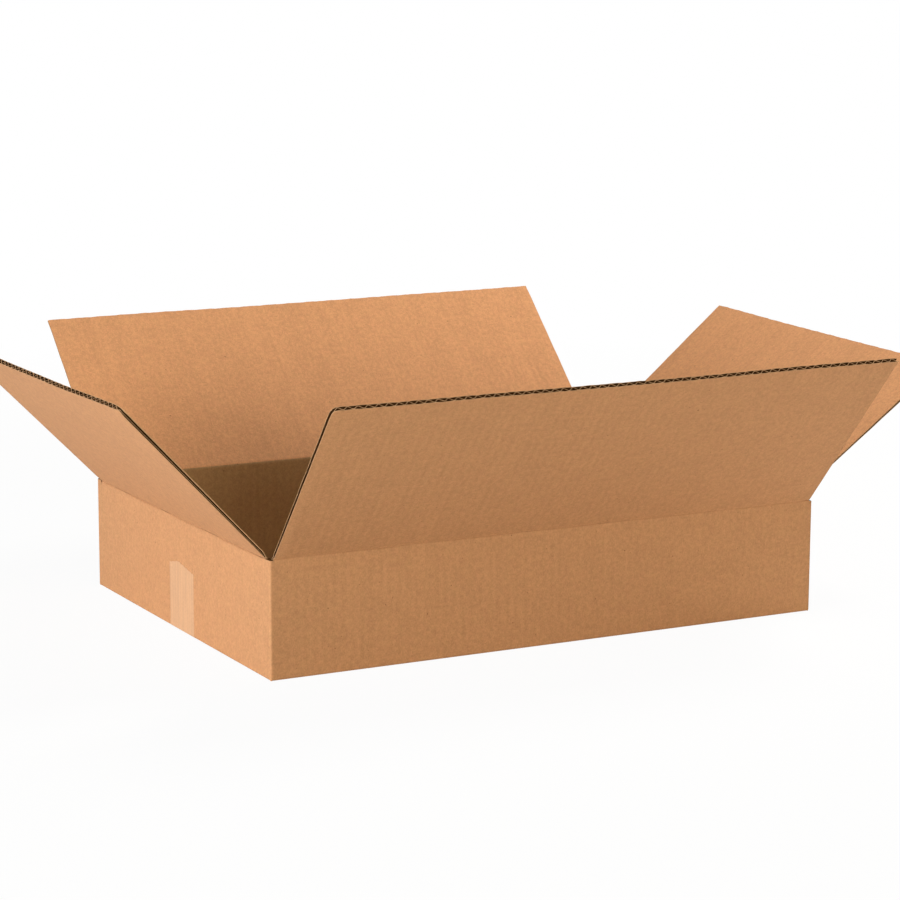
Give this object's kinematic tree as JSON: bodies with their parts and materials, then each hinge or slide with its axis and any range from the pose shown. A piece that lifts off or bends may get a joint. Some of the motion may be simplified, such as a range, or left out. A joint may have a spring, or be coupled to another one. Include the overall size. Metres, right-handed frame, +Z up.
{
  "type": "shallow corrugated cardboard box",
  "caption": "Shallow open box of corrugated board with a taped bottom and top flaps that fold at their creases, for packing low goods.",
  "frame": {"origin": "centre of the base, on the surface that the box stands on", "axes": "+Z up out of the box's mouth; +X along the box's length; +Y towards the back long wall"},
  "size_m": [0.7651, 0.6, 0.2302],
  "materials": {
    "board": "matt brown kraft paper",
    "tape": "clear satin packing tape over brown board"
  },
  "bodies": {
    "box": {"box_body": "board", "sealing_tape": "tape"},
    "flap_front": {"front_flap": "board"},
    "flap_back": {"back_flap": "board"},
    "flap_left": {"left_flap": "board"},
    "flap_right": {"right_flap": "board"}
  },
  "joints": [
    {"name": "front_crease", "type": "hinge", "parent": "box", "child": "flap_front", "pos_m": [0, -0.17775, 0.0966], "axis": [1, 0, 0], "range_deg": [-130.3, 74.7]},
    {"name": "back_crease", "type": "hinge", "parent": "box", "child": "flap_back", "pos_m": [0, 0.17775, 0.0966], "axis": [-1, 0, 0], "range_deg": [-136.6, 68.4]},
    {"name": "left_crease", "type": "hinge", "parent": "box", "child": "flap_left", "pos_m": [-0.24925, 0, 0.0946], "axis": [0, -1, 0], "range_deg": [-134.4, 70.6]},
    {"name": "right_crease", "type": "hinge", "parent": "box", "child": "flap_right", "pos_m": [0.24925, 0.00475, 0.0946], "axis": [0, 1, 0], "range_deg": [-143.6, 61.4]}
  ]
}
